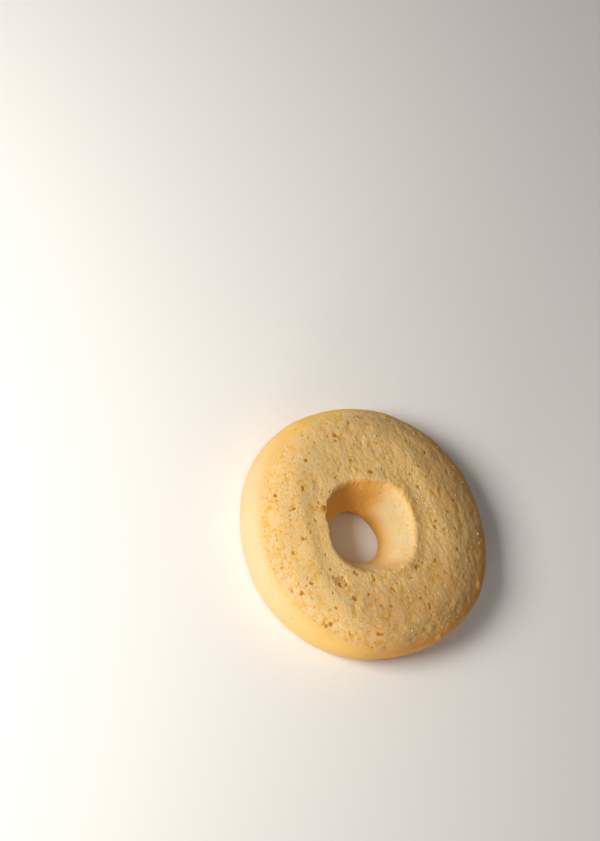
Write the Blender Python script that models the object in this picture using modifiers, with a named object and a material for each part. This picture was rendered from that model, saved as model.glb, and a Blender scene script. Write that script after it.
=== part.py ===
"""Butter cookie: a baked ring with a funnel-shaped hole, lying on its flat base.

Metres, +Z up. The origin is at the middle of the base. The near side of the ring,
the one that is looked at from the front, is towards -Y.
"""
import math

import bpy
import numpy as np

# Driving sizes of the ring
OUTER_RADIUS = 0.0299
THICKNESS = 0.0125
RIM_RADIUS = 0.0106          # where the pitted face turns down into the hole
THROAT_RADIUS = 0.0063       # the narrowest place of the hole, near the base
CREST_RADIUS = 0.0206        # where the flat top begins to slope towards the edge
BROW_RADIUS = 0.0248         # where that slope gets steeper
BROW_DROP = 0.00085          # how far the brow lies below the top
SHOULDER_INSET = 0.0006      # where the slope meets the side wall
SHOULDER_HEIGHT = 0.0092
BULGE_HEIGHT = 0.0046        # where the side wall is fattest
BULGE_OUT = 0.0001
BASE_INSET = 0.0007          # how far the base edge stands back from the bulge
THROAT_HEIGHT = 0.0026       # the hole is narrowest there
THROAT_INSET = 0.0003
THROAT_FLARE = 0.0002        # how much wider the hole is at the base
LIP_OUT = 0.0004             # the corner of the hole's lip before it is rounded
LIP_RISE = 0.0001
LIP_WIDTH = 0.0030           # how wide the low swelling round the hole is
CREST_RISE = 0.0002          # rounding cuts this off again

# Rounding of the section's corners
BASE_EDGE_ROUNDING = 0.0013
BULGE_ROUNDING = 0.0110
SHOULDER_ROUNDING = 0.0040
BROW_ROUNDING = 0.0100
CREST_ROUNDING = 0.0120
LIP_FOOT_ROUNDING = 0.0050
LIP_ROUNDING = 0.0011
THROAT_ROUNDING = 0.0040

# How far the ring is from round: times round, height, direction of a crest in degrees
OUTLINE_WAVES = ((2, 0.00074, 23), (3, 0.00018, 47), (4, 0.00026, 15), (6, 0.00009, 16))
CREST_WAVES = ((2, 0.0028, 155),)      # the flat top is longer than wide
RIM_WAVES = ((2, 0.00012, 0), (4, 0.00043, 12), (7, 0.00010, 5))
THROAT_WAVES = ((2, 0.00051, 9), (3, 0.00014, 26))
RIM_OFFSET = (-0.00106, -0.00170)      # the hole isn't in the middle of the ring
THROAT_OFFSET = (-0.00052, -0.00202)
CREST_BAND = (0.0130, 0.0286)          # the crest waves fade out towards these radii

# The side where the dough sank: its face slopes from further in
SUNK_DIRECTION = 62
SUNK_HALF_ANGLE = 96
SUNK_DEPTH = 0.00085
SUNK_FROM = 0.0170
SUNK_TO = 0.0285

# Unevenness of the whole surface
LUMP_SIZE = 0.0075
LUMP_HEIGHT = 0.00022
CRUMB_SIZE = 0.0017
CRUMB_STRETCH = 1.12         # crumbs are a little longer than wide
CRUMB_LIE = 150              # the direction in which they are longer, in degrees
CRUMB_HEIGHT = 0.00012
WALL_SHARE = 0.20            # how much of the crumb shows on the smooth side wall and in the hole
SHOULDER_CRUMB_SIZE = 0.0024  # the uneven edge on the side away from the smooth wall
SHOULDER_CRUMB_HEIGHT = 0.00022
SHOULDER_BAND = (0.0215, 0.0255)
SMOOTH_WALL_DIRECTION = -125
SMOOTH_WALL_HALF_ANGLE = (70, 120)

# The marks that stand out: angle, distance from the centre, half length, half width,
# lie in degrees, depth
MARKS = (
    (-77, 0.0170, 0.00180, 0.00130, 30, 0.00050),
    (-63, 0.0187, 0.00080, 0.00060, 0, 0.00034),
    (-43, 0.0250, 0.00105, 0.00050, 50, 0.00034),
    (-69, 0.0260, 0.00070, 0.00050, 160, 0.00030),
    (-90, 0.0250, 0.00070, 0.00055, 45, 0.00030),
    (-91, 0.0221, 0.00065, 0.00045, 40, 0.00026),
    (-111, 0.0223, 0.00055, 0.00045, 10, 0.00026),
    (-152, 0.0198, 0.00075, 0.00055, 150, 0.00026),
    (-169, 0.0222, 0.00065, 0.00050, 130, 0.00027),
    (166, 0.0226, 0.00080, 0.00055, 170, 0.00026),
    (147, 0.0122, 0.00080, 0.00055, 60, 0.00034),
    (-143, 0.0137, 0.00080, 0.00060, 120, 0.00034),
    (103, 0.0226, 0.00050, 0.00045, 0, 0.00030),
    (69, 0.0209, 0.00060, 0.00042, 50, 0.00028),
    (36, 0.0201, 0.00056, 0.00042, 150, 0.00030),
    (2, 0.0129, 0.00080, 0.00055, 130, 0.00038),
    (-9, 0.0216, 0.00085, 0.00046, 140, 0.00034),
)

# Where a pit's slope, and a crumb's, starts and ends, in half widths
PIT_EDGE = (0.25, 1.45)
CRUMB_EDGE = (0.20, 1.50)

# The many smaller pits of the face, drawn at random
PIT_SEED = 11
PIT_COUNT = 70
PIT_HALF_LENGTH = (0.00035, 0.00080)
PIT_NARROWNESS = (0.50, 0.90)
PIT_DEPTH = (0.00012, 0.00026)
PIT_BAND = (0.0125, 0.0285)

# Crumbs baked onto the edge: angle, distance from the centre, height above the base,
# half width, how far they stand out
EDGE_CRUMBS = (
    (130, 0.0274, 0.0102, 0.0013, 0.00026),
    (55, 0.0278, 0.0094, 0.0013, 0.00030),
    (24, 0.0290, 0.0097, 0.0011, 0.00034),
    (-9, 0.0292, 0.0090, 0.0009, 0.00040),
)

# Where the relief fades: by height, by distance past the rim, by how far up the surface faces
BASE_FADE = (0.0003, 0.0025)
LIP_FADE = (-0.0004, 0.0009)
FACE_STEEPNESS = (0.45, 0.85)
SUNK_STEEPNESS = (0.0, 0.6)
SHOULDER_STEEPNESS = (0.1, 0.5)

# Seeds of the noise
LUMP_SEED = 3
CRUMB_SEED = 5
SHOULDER_SEED = 10

# Fineness of the turned ring, and of the finished solid
PROFILE_STEP = 0.00055
TURN_STEPS = 340
TRIANGLES = 10400

CRUST_COLOUR = (0.62, 0.40, 0.165, 1.0)
CRUST_ROUGHNESS = 0.72


def smooth_step(value, low, high):
    """0 below low, 1 above high, and a smooth rise between them."""
    share = np.clip((value - low) / (high - low), 0.0, 1.0)
    return share * share * (3.0 - 2.0 * share)


def wave_sum(angle, waves):
    """The sum of a few cosine waves that run round the ring."""
    total = np.zeros_like(angle)
    for times, height, direction in waves:
        total += height * np.cos(times * (angle - math.radians(direction)))
    return total


def rounded_loop(corners, step):
    """A closed outline: straight lines between corners, each corner cut by a tangent arc."""
    points = []
    count = len(corners)
    for index in range(count):
        before = np.array(corners[index - 1][:2])
        corner = np.array(corners[index][:2])
        after = np.array(corners[(index + 1) % count][:2])
        radius = corners[index][2]
        back = (before - corner) / np.linalg.norm(before - corner)
        ahead = (after - corner) / np.linalg.norm(after - corner)
        half_angle = math.acos(float(np.dot(back, ahead))) / 2.0
        tangent = radius / math.tan(half_angle)
        middle = corner + (back + ahead) / np.linalg.norm(back + ahead) * radius / math.sin(half_angle)
        first = corner + back * tangent - middle
        turn = math.pi - 2.0 * half_angle
        side = math.copysign(1.0, back[1] * ahead[0] - back[0] * ahead[1])
        pieces = max(2, round(radius * turn / step))
        for piece in range(pieces + 1):
            angle = side * turn * piece / pieces
            cosine, sine = math.cos(angle), math.sin(angle)
            arm = (first[0] * cosine - first[1] * sine, first[0] * sine + first[1] * cosine)
            points.append((middle[0] + arm[0], middle[1] + arm[1]))
    return filled_in(points, step)


def filled_in(points, step):
    """The same closed outline with its long straight lines cut into steps."""
    result = []
    for index, start in enumerate(points):
        end = points[(index + 1) % len(points)]
        length = math.dist(start, end)
        pieces = max(1, round(length / step))
        for piece in range(pieces):
            share = piece / pieces
            result.append((start[0] + (end[0] - start[0]) * share, start[1] + (end[1] - start[1]) * share))
    return result


def ring_section():
    """The ring's section, from the crest down the outer wall, in along the base and up the hole."""
    lip_radius = RIM_RADIUS + LIP_OUT
    corners = (
        (CREST_RADIUS, THICKNESS + CREST_RISE, CREST_ROUNDING),
        (BROW_RADIUS, THICKNESS - BROW_DROP, BROW_ROUNDING),
        (OUTER_RADIUS - SHOULDER_INSET, SHOULDER_HEIGHT, SHOULDER_ROUNDING),
        (OUTER_RADIUS + BULGE_OUT, BULGE_HEIGHT, BULGE_ROUNDING),
        (OUTER_RADIUS - BASE_INSET, 0.0, BASE_EDGE_ROUNDING),
        (THROAT_RADIUS + THROAT_FLARE, 0.0, BASE_EDGE_ROUNDING),
        (THROAT_RADIUS - THROAT_INSET, THROAT_HEIGHT, THROAT_ROUNDING),
        (lip_radius, THICKNESS + LIP_RISE, LIP_ROUNDING),
        (lip_radius + LIP_WIDTH, THICKNESS, LIP_FOOT_ROUNDING),
    )
    return rounded_loop(corners, PROFILE_STEP)


def turned_ring():
    """The section turned once round the Z axis, as a plain mesh."""
    section = ring_section()
    edges = [(index, (index + 1) % len(section)) for index in range(len(section))]
    profile_mesh = bpy.data.meshes.new("ring_section")
    profile_mesh.from_pydata([(radius, 0.0, height) for radius, height in section], edges, [])
    profile = bpy.data.objects.new("ring_section", profile_mesh)
    bpy.context.scene.collection.objects.link(profile)

    screw = profile.modifiers.new("Turn", "SCREW")
    screw.axis = "Z"
    screw.angle = math.tau
    screw.steps = TURN_STEPS
    screw.render_steps = TURN_STEPS
    screw.use_merge_vertices = True
    screw.merge_threshold = 0.00001

    evaluated = profile.evaluated_get(bpy.context.evaluated_depsgraph_get())
    mesh = bpy.data.meshes.new_from_object(evaluated)
    mesh.name = "cookie"
    bpy.data.objects.remove(profile)
    return mesh


def read_points(mesh):
    """The mesh's points as one array."""
    points = np.empty(len(mesh.vertices) * 3)
    mesh.vertices.foreach_get("co", points)
    return points.reshape(-1, 3)


def read_normals(mesh):
    """The directions in which the mesh's points face."""
    normals = np.empty(len(mesh.vertices) * 3)
    mesh.vertices.foreach_get("normal", normals)
    return normals.reshape(-1, 3)


def write_points(mesh, points):
    """Moves the mesh's points to new places."""
    mesh.vertices.foreach_set("co", points.ravel())
    mesh.update()


def pressed_out_of_round(points):
    """Moves the outer wall, the crest, the rim and the throat in and out, each by its own waves."""
    radius = np.hypot(points[:, 0], points[:, 1])
    angle = np.arctan2(points[:, 1], points[:, 0])
    height = np.clip(points[:, 2] / THICKNESS, 0.0, 1.0)
    outer_share = smooth_step(radius, RIM_RADIUS, OUTER_RADIUS)
    hole_share = 1.0 - outer_share
    hole_waves = wave_sum(angle, RIM_WAVES) * height + wave_sum(angle, THROAT_WAVES) * (1.0 - height)
    crest_share = smooth_step(radius, CREST_BAND[0], CREST_RADIUS)
    crest_share *= 1.0 - smooth_step(radius, CREST_RADIUS, CREST_BAND[1])
    new_radius = radius + outer_share * wave_sum(angle, OUTLINE_WAVES) + hole_share * hole_waves
    new_radius += crest_share * wave_sum(angle, CREST_WAVES)
    moved = points.copy()
    for axis, unit in enumerate((np.cos(angle), np.sin(angle))):
        offset = RIM_OFFSET[axis] * height + THROAT_OFFSET[axis] * (1.0 - height)
        moved[:, axis] = new_radius * unit + hole_share * offset
    return moved


def gradient_noise(points, seed):
    """Smooth noise of about one bump a unit, from seeded slopes on a lattice of whole numbers."""
    slopes = np.random.default_rng(seed).normal(size=(32, 32, 32, 3))
    cell = np.floor(points).astype(int)
    inside = points - cell
    blend = inside ** 3 * (inside * (inside * 6.0 - 15.0) + 10.0)
    total = np.zeros(len(points))
    for corner in np.ndindex(2, 2, 2):
        index = (cell + corner) % 32
        slope = slopes[index[:, 0], index[:, 1], index[:, 2]]
        share = np.prod(np.where(corner, blend, 1.0 - blend), axis=1)
        total += share * np.sum(slope * (inside - corner), axis=1)
    return total


def pit_list():
    """The named marks, then the pits drawn at random: angle, distance, half sizes, lie and depth."""
    pits = [(math.radians(angle), *sizes) for angle, *sizes in MARKS]
    draw = np.random.default_rng(PIT_SEED)
    for _ in range(PIT_COUNT):
        distance = math.sqrt(draw.uniform(PIT_BAND[0] ** 2, PIT_BAND[1] ** 2))
        turn = draw.uniform(0.0, math.tau)
        half_length = draw.uniform(*PIT_HALF_LENGTH)
        half_width = half_length * draw.uniform(*PIT_NARROWNESS)
        lie = draw.uniform(0.0, 180.0)
        depth = draw.uniform(*PIT_DEPTH)
        pits.append((turn, distance, half_length, half_width, lie, depth))
    return pits


def pit_depth(points):
    """How deep the pits are at each point: an oval bowl with a rounded floor for each."""
    depth_here = np.zeros(len(points))
    for turn, distance, half_length, half_width, lie, depth in pit_list():
        from_x = points[:, 0] - distance * math.cos(turn)
        from_y = points[:, 1] - distance * math.sin(turn)
        lie_cosine, lie_sine = math.cos(math.radians(lie)), math.sin(math.radians(lie))
        along = from_x * lie_cosine + from_y * lie_sine
        across = from_y * lie_cosine - from_x * lie_sine
        away = np.hypot(along / half_length, across / half_width)
        depth_here = np.maximum(depth_here, depth * (1.0 - smooth_step(away, *PIT_EDGE)))
    return depth_here


def edge_crumb_height(points):
    """How far the crumbs on the edge stand out at each point."""
    height_here = np.zeros(len(points))
    for angle, distance, above_base, half_width, height in EDGE_CRUMBS:
        turn = math.radians(angle)
        centre = np.array((distance * math.cos(turn), distance * math.sin(turn), above_base))
        away = np.linalg.norm(points - centre, axis=1) / half_width
        height_here += height * (1.0 - smooth_step(away, *CRUMB_EDGE))
    return height_here


def crumb_noise(points):
    """Noise whose bumps are a little longer along one direction of the face."""
    turn = math.radians(CRUMB_LIE)
    along = (points[:, 0] * math.cos(turn) + points[:, 1] * math.sin(turn)) / CRUMB_STRETCH
    across = points[:, 1] * math.cos(turn) - points[:, 0] * math.sin(turn)
    return gradient_noise(np.stack((along, across, points[:, 2]), axis=1) / CRUMB_SIZE, CRUMB_SEED)


def degrees_from(points, direction):
    """How many degrees each point lies away from a direction, either way round."""
    angle = np.arctan2(points[:, 1], points[:, 0])
    return np.degrees(np.abs((angle - math.radians(direction) + math.pi) % math.tau - math.pi))


def shoulder_crumb_height(points, normals):
    """The broken edge of the face, on the side away from the smooth wall."""
    radius = np.hypot(points[:, 0], points[:, 1])
    on_shoulder = smooth_step(normals[:, 2], *SHOULDER_STEEPNESS) * smooth_step(radius, *SHOULDER_BAND)
    away = smooth_step(degrees_from(points, SMOOTH_WALL_DIRECTION), *SMOOTH_WALL_HALF_ANGLE)
    crumbs = gradient_noise(points / SHOULDER_CRUMB_SIZE, SHOULDER_SEED)
    return crumbs * SHOULDER_CRUMB_HEIGHT * on_shoulder * away


def surface_relief(points, normals, section_radius):
    """How far each point moves out along its normal."""
    radius = np.hypot(points[:, 0], points[:, 1])
    above_base = smooth_step(points[:, 2], *BASE_FADE)
    outside_hole = smooth_step(section_radius, RIM_RADIUS + LIP_FADE[0], RIM_RADIUS + LIP_FADE[1])
    on_face = smooth_step(normals[:, 2], *FACE_STEEPNESS) * outside_hole
    sunk = 1.0 - smooth_step(degrees_from(points, SUNK_DIRECTION), 0.0, SUNK_HALF_ANGLE)
    sunk *= smooth_step(radius, SUNK_FROM, SUNK_TO) * smooth_step(normals[:, 2], *SUNK_STEEPNESS) * SUNK_DEPTH
    lumps = gradient_noise(points / LUMP_SIZE, LUMP_SEED) * LUMP_HEIGHT
    crumb = crumb_noise(points) * CRUMB_HEIGHT * (WALL_SHARE + (1.0 - WALL_SHARE) * on_face)
    crumb += shoulder_crumb_height(points, normals)
    return above_base * (lumps + crumb + edge_crumb_height(points) - sunk - pit_depth(points) * on_face)


def crust_material():
    """Pale baked dough, dull all over."""
    material = bpy.data.materials.new("cookie_crust")
    material.use_nodes = True
    shader = material.node_tree.nodes["Principled BSDF"]
    shader.inputs["Base Color"].default_value = CRUST_COLOUR
    shader.inputs["Roughness"].default_value = CRUST_ROUGHNESS
    shader.inputs["Metallic"].default_value = 0.0
    material.diffuse_color = CRUST_COLOUR
    return material


def butter_cookie(collection):
    """The one baked piece: a turned ring, pressed out of round, with its relief."""
    mesh = turned_ring()
    turned = read_points(mesh)
    section_radius = np.hypot(turned[:, 0], turned[:, 1])
    pressed = pressed_out_of_round(turned)
    write_points(mesh, pressed)
    normals = read_normals(mesh)
    write_points(mesh, pressed + normals * surface_relief(pressed, normals, section_radius)[:, None])
    mesh.shade_smooth()
    mesh.materials.append(crust_material())

    cookie = bpy.data.objects.new("cookie", mesh)
    collection.objects.link(cookie)
    thin_out = cookie.modifiers.new("Thin out", "DECIMATE")
    thin_out.decimate_type = "COLLAPSE"
    thin_out.ratio = TRIANGLES / (2.0 * len(mesh.polygons))
    return cookie


def main():
    for item in list(bpy.data.objects):
        bpy.data.objects.remove(item)
    collection = bpy.data.collections.new("butter_cookie")
    bpy.context.scene.collection.children.link(collection)
    butter_cookie(collection)


main()
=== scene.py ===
import math

import bpy
import numpy as np
from mathutils import Matrix, Vector


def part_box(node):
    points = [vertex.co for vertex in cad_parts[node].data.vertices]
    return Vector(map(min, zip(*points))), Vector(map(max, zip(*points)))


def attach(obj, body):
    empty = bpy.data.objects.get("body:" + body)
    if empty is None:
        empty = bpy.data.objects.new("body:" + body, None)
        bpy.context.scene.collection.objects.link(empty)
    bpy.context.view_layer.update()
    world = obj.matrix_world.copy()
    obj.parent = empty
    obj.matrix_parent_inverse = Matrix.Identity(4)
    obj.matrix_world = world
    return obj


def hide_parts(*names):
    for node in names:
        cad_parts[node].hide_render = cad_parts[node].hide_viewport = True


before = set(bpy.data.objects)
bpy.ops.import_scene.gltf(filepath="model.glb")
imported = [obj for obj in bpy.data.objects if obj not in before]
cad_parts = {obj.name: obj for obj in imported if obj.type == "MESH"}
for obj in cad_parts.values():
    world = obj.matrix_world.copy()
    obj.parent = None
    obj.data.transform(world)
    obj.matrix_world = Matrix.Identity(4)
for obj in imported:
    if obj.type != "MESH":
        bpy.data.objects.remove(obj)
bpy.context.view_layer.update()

# Ring butter cookie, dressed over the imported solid. Lengths are in metres, mm turns millimetres into them.
mm = 0.001
ringLow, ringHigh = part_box("cookie")
print("cookie box, mm:", [round((high - low) / mm, 1) for low, high in zip(ringLow, ringHigh)])

noiseCells = 32                      # the noise patterns repeat after this many cells

# Each noise pattern is drawn from its own number
noiseSeeds = {
    "lumps": 3,
    "knobs": 4,
    "crumb": 5,
    "clumps": 6,
    "grain": 7,
    "blobs": 8,
    "lip": 9,
    "shoulder": 10,
    "blotches": 12,
    "faceEdge": 14,
    "lipFine": 19,
    "pitsAlong": 31,
    "pitsAcross": 32,
}


# Small helpers for whole arrays

def smoothStep(value, low, high):
    # 0 below low, 1 above high, t*t*(3-2t) between them
    share = np.clip((value - low) / (high - low), 0.0, 1.0)
    return share * share * (3.0 - 2.0 * share)


def fadeOut(value, full, end):
    # 1 below full, 0 above end, one minus the smooth step between them
    return 1.0 - smoothStep(value, full, end)


def angleFrom(angle, direction):
    # how many degrees the angle is away from a direction, either way round
    return np.degrees(np.abs((angle - math.radians(direction) + math.pi) % math.tau - math.pi))


def nearDirection(angle, direction, full, end):
    # 1 within full degrees of the direction, 0 beyond end degrees
    return fadeOut(angleFrom(angle, direction), full, end)


def waveSum(angle, waves):
    # sum of height * cos(times * (angle - direction)) over the listed waves
    total = np.zeros_like(angle)
    for times, height, direction in waves:
        total += height * np.cos(times * (angle - math.radians(direction)))
    return total


def gradientNoise(points, seed):
    # Each whole-number lattice corner has a seeded slope; the slopes' planes are blended over the cell
    slopes = np.random.default_rng(seed).normal(size=(noiseCells, noiseCells, noiseCells, 3))
    cell = np.floor(points).astype(int)
    inside = points - cell
    blend = inside ** 3 * (inside * (inside * 6.0 - 15.0) + 10.0)
    total = np.zeros(len(points))
    for corner in np.ndindex(2, 2, 2):
        index = (cell + corner) % noiseCells
        slope = slopes[index[:, 0], index[:, 1], index[:, 2]]
        share = np.prod(np.where(corner, blend, 1.0 - blend), axis=1)
        total += share * np.sum(slope * (inside - corner), axis=1)
    return total


def clumpNoise(points, seed):
    # Rounded clumps with creases between them: 1 - d*d, d the distance to the nearest of the
    # seeded points, one in each lattice cell, a tenth of the cell or more inside it
    spots = np.random.default_rng(seed).uniform(0.1, 0.9, size=(noiseCells, noiseCells, noiseCells, 3))
    cell = np.floor(points).astype(int)
    inside = points - cell
    nearest = np.full(len(points), np.inf)
    for step in np.ndindex(3, 3, 3):
        offset = np.array(step) - 1
        index = (cell + offset) % noiseCells
        away = spots[index[:, 0], index[:, 1], index[:, 2]] + offset - inside
        nearest = np.minimum(nearest, np.sum(away * away, axis=1))
    return 1.0 - nearest


def streaked(points, stretch, lie):
    # the points with one direction of the face shortened, so that a pattern on them is drawn out there
    turn = math.radians(lie)
    along = (points[:, 0] * math.cos(turn) + points[:, 1] * math.sin(turn)) / stretch
    across = points[:, 1] * math.cos(turn) - points[:, 0] * math.sin(turn)
    return np.stack((along, across, points[:, 2]), axis=1)


# The ring's own form: the same named sizes as the solid has

ringShape = {
    "outerRadius": 29.9 * mm,
    "thickness": 12.5 * mm,
    "rimRadius": 10.6 * mm,          # where the pitted face turns down into the hole
    "throatRadius": 6.3 * mm,
    "crestRadius": 20.6 * mm,        # where the flat top begins to slope to the edge
    "crestRise": 0.2 * mm,           # the rounding cuts this off again
    "browRadius": 24.8 * mm,         # where that slope gets steeper
    "browDrop": 0.85 * mm,
    "shoulderInset": 0.6 * mm,       # where the slope meets the wall
    "shoulderHeight": 9.2 * mm,
    "bulgeOut": 0.1 * mm,            # the wall is fattest here
    "bulgeHeight": 4.6 * mm,
    "baseInset": 0.7 * mm,
    "throatFlare": 0.2 * mm,         # how much wider the hole is at the base
    "throatInset": 0.3 * mm,
    "throatHeight": 2.6 * mm,        # the hole is narrowest here
    "lipOut": 0.4 * mm,              # the corner of the hole's lip before it is rounded
    "lipRise": 0.10 * mm,
    "lipFootOut": 3.4 * mm,          # the low swelling round the hole ends here
    "lipFootDrop": 0.02 * mm,
    "outlineWaves": ((2, 0.74 * mm, 23), (3, 0.18 * mm, 47), (4, 0.26 * mm, 15), (6, 0.09 * mm, 16)),
    "crestWaves": ((2, 2.8 * mm, 155),),      # the flat top is longer than wide
    "crestBand": (13.0 * mm, 28.6 * mm),      # the crest waves fade out towards these radii
    "rimWaves": ((2, 0.12 * mm, 0), (4, 0.43 * mm, 12), (7, 0.10 * mm, 5)),
    "throatWaves": ((2, 0.51 * mm, 9), (3, 0.14 * mm, 26)),
    "rimOffset": (-1.06 * mm, -1.70 * mm),
    "throatOffset": (-0.52 * mm, -2.02 * mm),
    "turns": 560,                    # grid columns round the ring
    "rows": 176,                     # grid rows round the section
}

# How round each corner of the section is
sectionRounding = {
    "crest": 12.0 * mm,
    "brow": 10.0 * mm,
    "shoulder": 4.0 * mm,
    "bulge": 11.0 * mm,
    "baseEdge": 1.3 * mm,
    "throat": 4.0 * mm,
    "lip": 1.1 * mm,
    "lipFoot": 5.0 * mm,
}

# Where the grid's rows lie closer, on the face, and farther apart, under the base
rowSpacing = {
    "faceHeight": (8.5 * mm, 10.5 * mm),
    "faceRadius": (9.5 * mm, 11.0 * mm),
    "faceMore": 1.3,
    "baseHeight": (0.0, 0.6 * mm),
    "baseLess": 0.75,
}


def roundedLoop(corners, perArc=60, perLine=40):
    # Straight lines between the corners, each corner cut by the arc that touches both lines
    pieces = []
    for index, (x, y, radius) in enumerate(corners):
        corner = np.array((x, y))
        before = np.array(corners[index - 1][:2]) - corner
        after = np.array(corners[(index + 1) % len(corners)][:2]) - corner
        before /= np.linalg.norm(before)
        after /= np.linalg.norm(after)
        half = math.acos(float(before @ after)) / 2.0
        middle = corner + (before + after) / np.linalg.norm(before + after) * radius / math.sin(half)
        arm = corner + before * radius / math.tan(half) - middle
        side = math.copysign(1.0, before[1] * after[0] - before[0] * after[1])
        angle = side * (math.pi - 2.0 * half) * np.linspace(0.0, 1.0, perArc)
        arc = np.stack((arm[0] * np.cos(angle) - arm[1] * np.sin(angle),
                        arm[0] * np.sin(angle) + arm[1] * np.cos(angle)), axis=1)
        pieces.append(middle + arc)
    joined = []
    for index, piece in enumerate(pieces):
        nextStart = pieces[(index + 1) % len(pieces)][0]
        share = np.linspace(0.0, 1.0, perLine, endpoint=False)[1:, None]
        joined += [piece, piece[-1] + (nextStart - piece[-1]) * share]
    return np.concatenate(joined)


def ringSection():
    # Closed section of rounded corners, resampled so that its rows are spaced as rowSpacing says
    shape, rounding, spacing = ringShape, sectionRounding, rowSpacing
    outer, top = shape["outerRadius"], shape["thickness"]
    rim, throat = shape["rimRadius"], shape["throatRadius"]
    loop = roundedLoop((
        (shape["crestRadius"], top + shape["crestRise"], rounding["crest"]),
        (shape["browRadius"], top - shape["browDrop"], rounding["brow"]),
        (outer - shape["shoulderInset"], shape["shoulderHeight"], rounding["shoulder"]),
        (outer + shape["bulgeOut"], shape["bulgeHeight"], rounding["bulge"]),
        (outer - shape["baseInset"], 0.0, rounding["baseEdge"]),
        (throat + shape["throatFlare"], 0.0, rounding["baseEdge"]),
        (throat - shape["throatInset"], shape["throatHeight"], rounding["throat"]),
        (rim + shape["lipOut"], top + shape["lipRise"], rounding["lip"]),
        (rim + shape["lipFootOut"], top - shape["lipFootDrop"], rounding["lipFoot"]),
    ))
    closed = np.vstack((loop, loop[:1]))
    steps = np.diff(closed, axis=0)
    middle = (closed[1:] + closed[:-1]) / 2.0
    onFace = smoothStep(middle[:, 1], *spacing["faceHeight"])
    onFace *= smoothStep(middle[:, 0], *spacing["faceRadius"])
    onBase = fadeOut(middle[:, 1], *spacing["baseHeight"])
    density = 1.0 + spacing["faceMore"] * onFace - spacing["baseLess"] * onBase
    travelled = np.concatenate(((0.0,), np.cumsum(np.hypot(steps[:, 0], steps[:, 1]) * density)))
    wanted = np.linspace(0.0, travelled[-1], shape["rows"], endpoint=False)
    return np.stack([np.interp(wanted, travelled, closed[:, axis]) for axis in (0, 1)], axis=1)


def turnedRing():
    # point(row, turn) = (r cos a, r sin a, z), with r and z from the section
    section = ringSection()
    angle = np.linspace(0.0, math.tau, ringShape["turns"], endpoint=False)
    radius, height = section[:, 0][:, None], section[:, 1][:, None]
    return np.stack(np.broadcast_arrays(radius * np.cos(angle), radius * np.sin(angle), height), axis=-1)


def pressedOutOfRound(points):
    # The outer wall, the rim and the throat are moved in and out, each by its own waves
    shape = ringShape
    radius = np.hypot(points[..., 0], points[..., 1])
    angle = np.arctan2(points[..., 1], points[..., 0])
    height = np.clip(points[..., 2] / shape["thickness"], 0.0, 1.0)
    outerShare = smoothStep(radius, shape["rimRadius"], shape["outerRadius"])
    holeWaves = waveSum(angle, shape["rimWaves"]) * height
    holeWaves += waveSum(angle, shape["throatWaves"]) * (1.0 - height)
    crestStart, crestEnd = shape["crestBand"]
    crestShare = smoothStep(radius, crestStart, shape["crestRadius"])
    crestShare *= fadeOut(radius, shape["crestRadius"], crestEnd)
    newRadius = radius + outerShare * waveSum(angle, shape["outlineWaves"]) + (1.0 - outerShare) * holeWaves
    newRadius += crestShare * waveSum(angle, shape["crestWaves"])
    moved = points.copy()
    for axis, unit in enumerate((np.cos(angle), np.sin(angle))):
        offset = shape["rimOffset"][axis] * height + shape["throatOffset"][axis] * (1.0 - height)
        moved[..., axis] = newRadius * unit + (1.0 - outerShare) * offset
    return moved


def gridNormals(points):
    # cross product of the central differences along both parameters of the closed grid
    alongRows = np.roll(points, -1, axis=0) - np.roll(points, 1, axis=0)
    alongTurns = np.roll(points, -1, axis=1) - np.roll(points, 1, axis=1)
    normals = np.cross(alongRows, alongTurns)
    return normals / np.linalg.norm(normals, axis=-1, keepdims=True)


# Relief of the baked surface. A pair of values is where a thing begins and where it is full, or the
# other way round where it fades: radii, heights above the base, degrees from a direction, or, as a
# tilt, how far the surface faces up, from 0 on a wall to 1 on level ground.

relief = {
    "sunkDirection": 62,             # the dough sank on this side: the face slopes from further in
    "sunkHalfAngle": 96,
    "sunkDepth": 0.85 * mm,
    "sunkRadius": (17.0 * mm, 28.5 * mm),
    "sunkTilt": (0.0, 0.6),
    "lumpSize": 7.5 * mm,
    "lumpHeight": 0.22 * mm,
    "knobSize": 3.4 * mm,            # soft swellings between the lumps and the crumb in size
    "knobHeight": 0.060 * mm,
    "crumbSize": 1.7 * mm,           # soft bumps
    "crumbStretch": 1.12,
    "crumbLie": 150,
    "crumbHeight": 0.048 * mm,
    "clumpSize": 0.95 * mm,          # rounded clumps with creases
    "clumpHeight": 0.120 * mm,
    "clumpShift": 0.6,               # how far the crumb pushes the clumps about, in clumps
    "clumpMiddle": 0.70,             # taken off the clump noise, so that it goes up and down
    "grainSize": 0.46 * mm,          # the grains of the clumps
    "grainHeight": 0.050 * mm,
    "rougherDirection": 60,          # the crumb is coarser on this side
    "rougherAngle": (98, 150),
    "rougherShares": (1.32, 0.46),   # of the crumb's height on that side, and on the other one
    "aboveBase": (0.3 * mm, 2.5 * mm),
    "rimWidth": 1.0 * mm,            # the hole's crumb turns into the face's over this width
    "wallShare": 0.20,               # how much of the crumb shows on the smooth wall
    "holeShare": 0.34,               # and in the hole
    "holeRougher": 1.6,              # times as much on the hole's side in shade, which has painted shade
    "holeRougherDirection": 182,
    "holeRougherAngle": (30, 90),
}

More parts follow.
